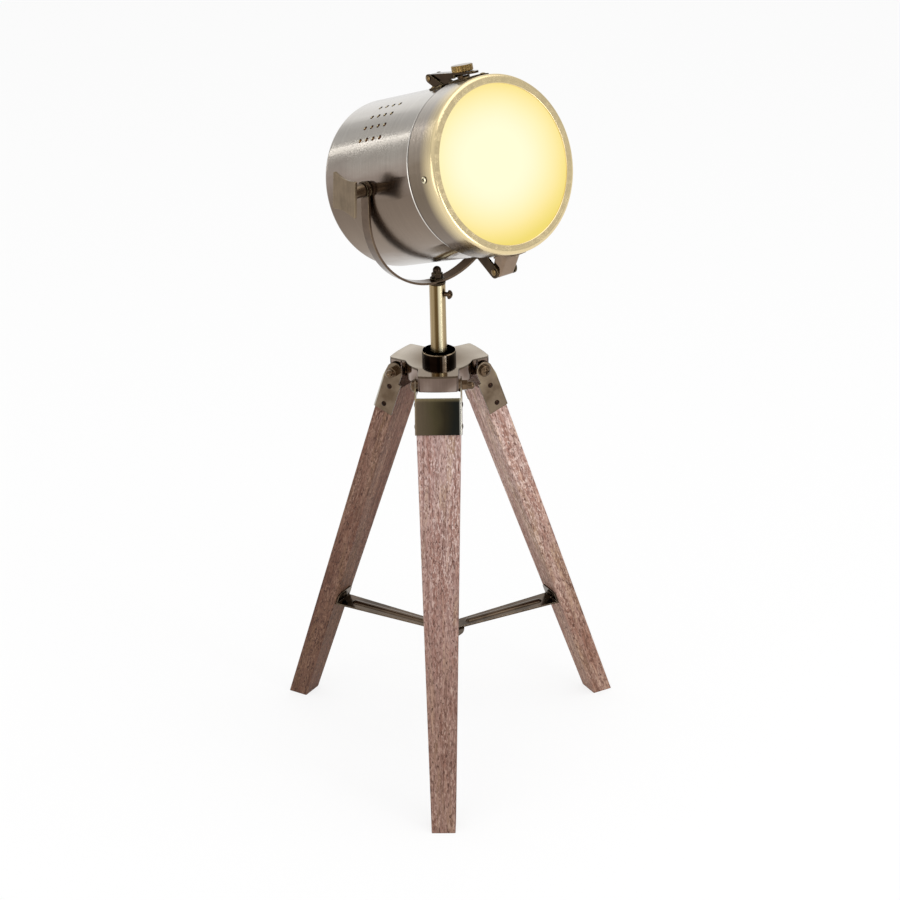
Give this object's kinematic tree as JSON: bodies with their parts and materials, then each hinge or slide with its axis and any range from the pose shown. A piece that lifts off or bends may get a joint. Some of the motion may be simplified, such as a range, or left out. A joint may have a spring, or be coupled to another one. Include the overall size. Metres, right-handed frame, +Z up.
{
  "type": "tabletop searchlight lamp",
  "caption": "Table searchlight lamp: a tilting drum head with an opening lens door, in a yoke that turns on a short pole over a wooden tripod.",
  "frame": {"origin": "on the table top, under the pole axis", "axes": "+Z up; the lamp shines toward -Y, 19.28 degrees over level at rest; +X is to the right as seen from in front"},
  "size_m": [0.2915, 0.3018, 0.6451],
  "materials": {
    "limed_wood": "weathered, open grain",
    "bronze_plate": "dark antique nickel, brushed",
    "hub_metal": "polished antique nickel",
    "collar_metal": "polished antique nickel",
    "pole_metal": "polished antique nickel",
    "swivel_metal": "antique nickel",
    "leg_hardware": "antique nickel",
    "plain_steel": "zinc plated",
    "brace_metal": "dark antique nickel",
    "brace_hardware": "dark antique nickel",
    "lock_screw_metal": "dark bronze",
    "knob_metal": "antique nickel, brushed",
    "drum_metal": "antique nickel, brushed round",
    "bezel_metal": "antique nickel, brushed round",
    "fitting_metal": "dark bronze",
    "fitting_hardware": "dark bronze",
    "thumb_screw_metal": "antique nickel, knurled",
    "door_screw_metal": "pale brass",
    "clip_metal": "zinc plated",
    "opal_glass": "opal, warm lit",
    "bulb_glass": "clear",
    "bulb_cap_metal": "plain",
    "bakelite": "moulded",
    "gland_plastic": "moulded"
  },
  "bodies": {
    "tripod": {"brace_arm_front_left": "brace_metal", "brace_arm_rear": "brace_metal", "brace_arm_right": "brace_metal", "brace_disc": "brace_metal", "brace_rivets": "brace_hardware", "brace_screws": "brace_hardware", "bracket_screws": "leg_hardware", "hub_plate": "hub_metal", "leg_bolts": "leg_hardware", "leg_bracket_front_left": "bronze_plate", "leg_bracket_rear": "bronze_plate", "leg_bracket_right": "bronze_plate", "leg_front_left": "limed_wood", "leg_nuts": "leg_hardware", "leg_rear": "limed_wood", "leg_right": "limed_wood", "leg_sleeves": "plain_steel", "leg_washers": "leg_hardware", "pole": "pole_metal", "pole_collar": "collar_metal", "pole_nut": "plain_steel", "pole_washer": "plain_steel"},
    "lock_screw": {"lock_screw": "lock_screw_metal"},
    "yoke": {"yoke": "swivel_metal", "swivel_stud": "plain_steel", "swivel_washers": "swivel_metal", "swivel_nut": "swivel_metal", "tilt_washers": "swivel_metal"},
    "drum": {"drum_shell": "drum_metal", "tilt_nuts": "plain_steel", "tilt_spacers": "swivel_metal", "drum_rivets": "fitting_hardware", "hinge_bracket": "fitting_metal", "hinge_pin": "fitting_hardware", "latch_base": "fitting_metal", "latch_pin": "fitting_hardware", "lampholder": "bakelite", "bulb_cap": "bulb_cap_metal", "bulb_glass": "bulb_glass", "inlet_nipple": "plain_steel", "inlet_nuts": "plain_steel", "cord_gland": "gland_plastic"},
    "tilt_knob_left": {"tilt_knob_left": "knob_metal"},
    "tilt_knob_right": {"tilt_knob_right": "knob_metal"},
    "latch": {"latch_strap": "fitting_metal"},
    "thumb_screw": {"thumb_screw": "thumb_screw_metal"},
    "door": {"bezel": "bezel_metal", "lens": "opal_glass", "lens_clips": "clip_metal", "door_screws": "door_screw_metal", "door_rivets": "fitting_hardware", "hinge_leaf": "fitting_metal", "catch_plate": "fitting_metal"}
  },
  "joints": [
    {"name": "head_pan", "type": "hinge", "parent": "tripod", "child": "yoke", "pos_m": [0, 0, 0.44367], "axis": [0, 0, 1], "range_deg": [-170, 170]},
    {"name": "lock_screw_turn", "type": "hinge", "parent": "tripod", "child": "lock_screw", "pos_m": [0.00331, -0.00622, 0.43447], "axis": [0.4695, -0.8829, 0], "range_deg": [0, 360]},
    {"name": "head_tilt", "type": "hinge", "parent": "yoke", "child": "drum", "pos_m": [0, 0, 0.54477], "axis": [-1, 0, 0], "range_deg": [-38, 6]},
    {"name": "tilt_knob_left_turn", "type": "hinge", "parent": "drum", "child": "tilt_knob_left", "pos_m": [-0.0767, 0, 0.54477], "axis": [-1, 0, 0], "range_deg": [0, 360]},
    {"name": "tilt_knob_right_turn", "type": "hinge", "parent": "drum", "child": "tilt_knob_right", "pos_m": [0.0767, 0, 0.54477], "axis": [1, 0, 0], "range_deg": [0, 360]},
    {"name": "latch_lift", "type": "hinge", "parent": "drum", "child": "latch", "pos_m": [0, -0.00264, 0.62536], "axis": [-1, 0, 0], "range_deg": [0, 120]},
    {"name": "thumb_screw_turn", "type": "hinge", "parent": "latch", "child": "thumb_screw", "pos_m": [0, -0.03939, 0.6376], "axis": [0, 0.2365, 0.9716], "continuous": true},
    {"name": "door_swing", "type": "hinge", "parent": "drum", "child": "door", "pos_m": [0, -0.08678, 0.47946], "axis": [1, 0, 0], "range_deg": [0, 110]}
  ]
}
